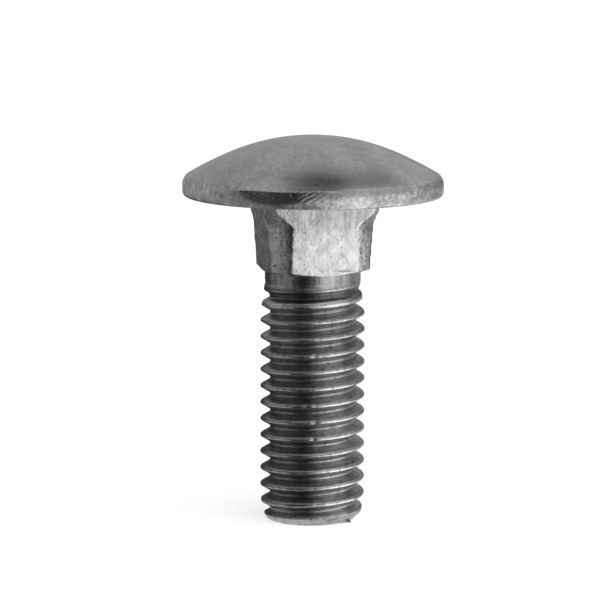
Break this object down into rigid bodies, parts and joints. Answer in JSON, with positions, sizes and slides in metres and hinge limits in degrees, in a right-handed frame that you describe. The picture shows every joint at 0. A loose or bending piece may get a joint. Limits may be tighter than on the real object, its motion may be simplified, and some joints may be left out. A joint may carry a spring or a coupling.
{
  "type": "carriage bolt",
  "caption": "Carriage bolt in plain steel: a low domed cup head, a square neck that keys into its hole, and a rolled right-hand thread with a tapered end.",
  "frame": {"origin": "on the bolt's axis, in the plane of the flat bearing face under the head", "axes": "+Z along the axis, up through the head; the shank runs along -Z; X and Y are square to the neck's flats"},
  "size_m": [0.0196, 0.0196, 0.029],
  "materials": {
    "plain_steel": "bare cold-forged steel, satin dome, brighter hammered neck flats, dark rolled thread"
  },
  "bodies": {
    "root": {"carriage_bolt": "plain_steel"}
  },
  "joints": []
}
